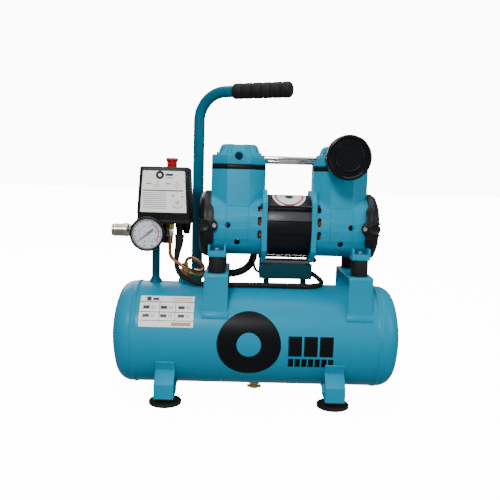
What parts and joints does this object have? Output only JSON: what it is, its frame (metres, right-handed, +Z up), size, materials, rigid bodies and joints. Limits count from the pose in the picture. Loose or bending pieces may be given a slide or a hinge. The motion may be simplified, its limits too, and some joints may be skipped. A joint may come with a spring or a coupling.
{
  "type": "air compressor",
  "caption": "Small oil-free air compressor: twin-cylinder motor on rubber mounts over a horizontal tank, with pressure switch, gauge, quick coupler and carry handle.",
  "frame": {"origin": "on the floor, under the middle of the tank", "axes": "+X along the tank towards the intake filter, +Y from the gauge side to the handle post side, +Z up"},
  "size_m": [0.471, 0.189, 0.514],
  "materials": {
    "teal_paint": "gloss paint",
    "teal_casting": "satin paint on die castings",
    "dark_teal_paint": "gloss paint",
    "black_rubber": "matt",
    "black_plastic": "fine moulded texture",
    "black_gloss_plastic": "glossy moulding",
    "black_paint": "satin black",
    "plated_steel": "zinc plated",
    "polished_tube": "polished",
    "nickel": "nickel plated brass",
    "brass": "machined",
    "copper": "drawn copper",
    "copper_winding": "enamelled wire",
    "aluminium": "cast and machined",
    "seal_fibre": "filled seal material",
    "red_plastic": "moulded",
    "label_white": "printed foil",
    "filter_felt": "felt",
    "clear_lens": "clear",
    "phenolic": "moulded"
  },
  "bodies": {
    "frame": {"tank_shell": "teal_paint", "tank_heads": "teal_paint", "saddles": "teal_paint", "foot_brackets": "teal_paint", "rubber_feet": "black_rubber", "foot_bolts": "plated_steel", "check_valve": "brass", "drain_valve_body": "brass", "riser_pipe": "teal_paint", "handle_tube": "teal_paint", "handle_grip": "black_rubber", "rating_plate": "label_white", "vibration_mounts": "black_rubber", "mount_screws": "plated_steel", "crankcase_left": "teal_casting", "crankcase_right": "teal_casting", "motor_stator": "black_paint", "stator_windings": "copper_winding", "shaft_bearings": "plated_steel", "cylinder_sleeves": "aluminium", "valve_plates": "black_paint", "head_gaskets": "black_rubber", "cylinder_head_left": "teal_casting", "cylinder_head_right": "teal_casting", "head_bolts": "plated_steel", "transfer_tubes": "polished_tube", "fan_covers": "black_plastic", "fan_cover_screws": "plated_steel", "tie_rods": "black_paint", "filter_housing": "black_gloss_plastic", "filter_cap": "black_gloss_plastic", "filter_element": "filter_felt", "capacitor_box": "dark_teal_paint", "capacitor": "label_white", "discharge_hose": "black_rubber", "switch_base": "black_plastic", "switch_cover": "black_plastic", "contact_block": "phenolic", "manifold_block": "black_paint", "gauge_case": "black_paint", "gauge_lens": "clear_lens", "coupler_body": "nickel", "unloader_pipe": "copper", "cable_glands": "black_plastic", "motor_cables": "black_rubber", "safety_valve": "brass"},
    "rotor": {"rotor_core": "plated_steel", "crankshaft": "plated_steel", "eccentrics": "aluminium", "cooling_fans": "black_plastic"},
    "piston_left": {"piston_rod_left": "aluminium", "piston_seal_left": "seal_fibre"},
    "piston_right": {"piston_rod_right": "aluminium", "piston_seal_right": "seal_fibre"},
    "switch_button": {"switch_knob": "red_plastic"},
    "needle": {"gauge_needle": "black_paint"},
    "regulator": {"regulator_knob": "black_plastic"},
    "coupler_collar": {"coupler_sleeve": "nickel"},
    "drain_tap": {"drain_valve_knob": "brass"},
    "relief_pull": {"safety_ring": "plated_steel"}
  },
  "joints": [
    {"name": "rotor_spin", "type": "hinge", "parent": "frame", "child": "rotor", "pos_m": [0.0475, 0, 0.283], "axis": [1, 0, 0], "continuous": true},
    {"name": "piston_left_slide", "type": "slide", "parent": "frame", "child": "piston_left", "axis": [0, 0, 1], "range_m": [-0.014, 0]},
    {"name": "piston_right_slide", "type": "slide", "parent": "frame", "child": "piston_right", "axis": [0, 0, 1], "range_m": [0, 0.014]},
    {"name": "switch_knob_slide", "type": "slide", "parent": "frame", "child": "switch_button", "axis": [0, 0, 1], "range_m": [-0.006, 0]},
    {"name": "needle_turn", "type": "hinge", "parent": "frame", "child": "needle", "pos_m": [-0.17, -0.08, 0.27], "axis": [0, 1, 0], "range_deg": [0, 270], "stiffness_Nm_per_rad": 0.0002, "springref_deg": -28.65},
    {"name": "regulator_turn", "type": "hinge", "parent": "frame", "child": "regulator", "pos_m": [-0.145, -0.03, 0.267], "axis": [1, 0, 0], "range_deg": [-360, 360]},
    {"name": "coupler_sleeve_slide", "type": "slide", "parent": "frame", "child": "coupler_collar", "axis": [1, 0, 0], "range_m": [0, 0.004], "stiffness_N_per_m": 1500, "springref_m": -0.004},
    {"name": "drain_turn", "type": "hinge", "parent": "frame", "child": "drain_tap", "pos_m": [0, 0, 0.012], "axis": [0, 0, 1], "range_deg": [0, 360]},
    {"name": "relief_pull_slide", "type": "slide", "parent": "frame", "child": "relief_pull", "axis": [-1, 0, 0], "range_m": [0, 0.003], "stiffness_N_per_m": 1500, "springref_m": -0.003}
  ]
}
